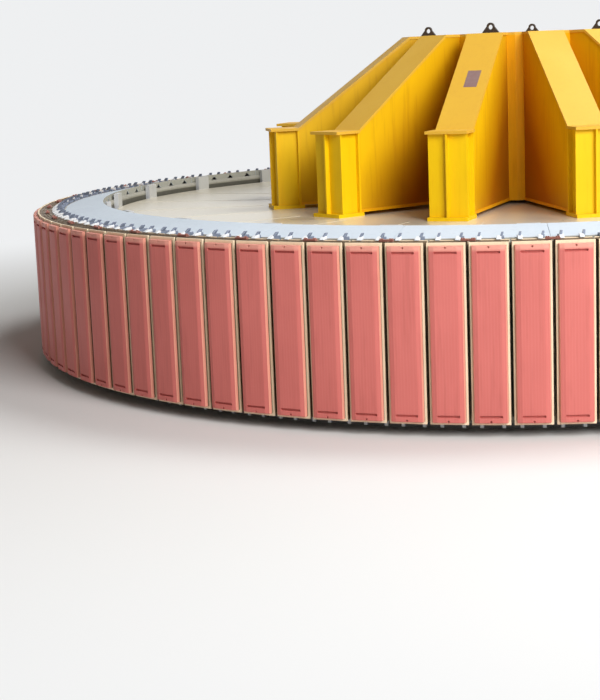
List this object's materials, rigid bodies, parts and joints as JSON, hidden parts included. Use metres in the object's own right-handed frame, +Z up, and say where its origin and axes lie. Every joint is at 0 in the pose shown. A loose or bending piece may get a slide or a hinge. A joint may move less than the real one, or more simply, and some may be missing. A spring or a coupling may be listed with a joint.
{
  "type": "hydroelectric generator rotor",
  "caption": "Generator rotor with a ring of salient poles on a laminated rim, a radial spider with a full deck, and a radial lifting star standing over the shaft axis.",
  "frame": {"origin": "on the rotor axis, at the level floor under the coupling flange and the brake tracks", "axes": "+Z up along the rotor axis; -Y passes through the middle of a pole"},
  "size_m": [15, 15, 4.8098],
  "materials": {
    "pole_steel": "satin",
    "coil_insulation": "matte",
    "rim_steel": "matte",
    "key_steel": "satin",
    "copper": "satin",
    "cover_paint": "satin",
    "deck_paint": "satin",
    "spider_steel": "satin",
    "hub_steel": "satin",
    "brake_steel": "satin",
    "star_paint": "satin",
    "eye_steel": "satin"
  },
  "bodies": {
    "root": {"arm_end_blocks": "cover_paint", "brake_carrier": "rim_steel", "brake_tracks": "brake_steel", "cover_ring": "cover_paint", "field_coils_1": "coil_insulation", "field_coils_2": "coil_insulation", "field_coils_3": "coil_insulation", "field_coils_4": "coil_insulation", "pole_cores_1": "pole_steel", "pole_cores_2": "pole_steel", "pole_cores_3": "pole_steel", "pole_cores_4": "pole_steel", "pole_keys": "key_steel", "pole_links": "copper", "rim_laminations": "rim_steel", "rim_lower_plate": "rim_steel", "rim_upper_plate": "rim_steel", "spider_deck": "deck_paint", "spider_hub": "hub_steel", "spider_lower_disc": "spider_steel", "spider_lower_flanges": "spider_steel", "spider_webs": "spider_steel", "star_arm_flanges": "star_paint", "star_arm_webs": "star_paint", "star_base_plate": "star_paint", "star_caps": "star_paint", "star_columns": "star_paint", "star_drum": "star_paint", "star_eyes": "eye_steel", "star_lower_flanges": "star_paint", "star_ribs": "star_paint", "star_soles": "star_paint", "star_top_plate": "star_paint"}
  },
  "joints": []
}
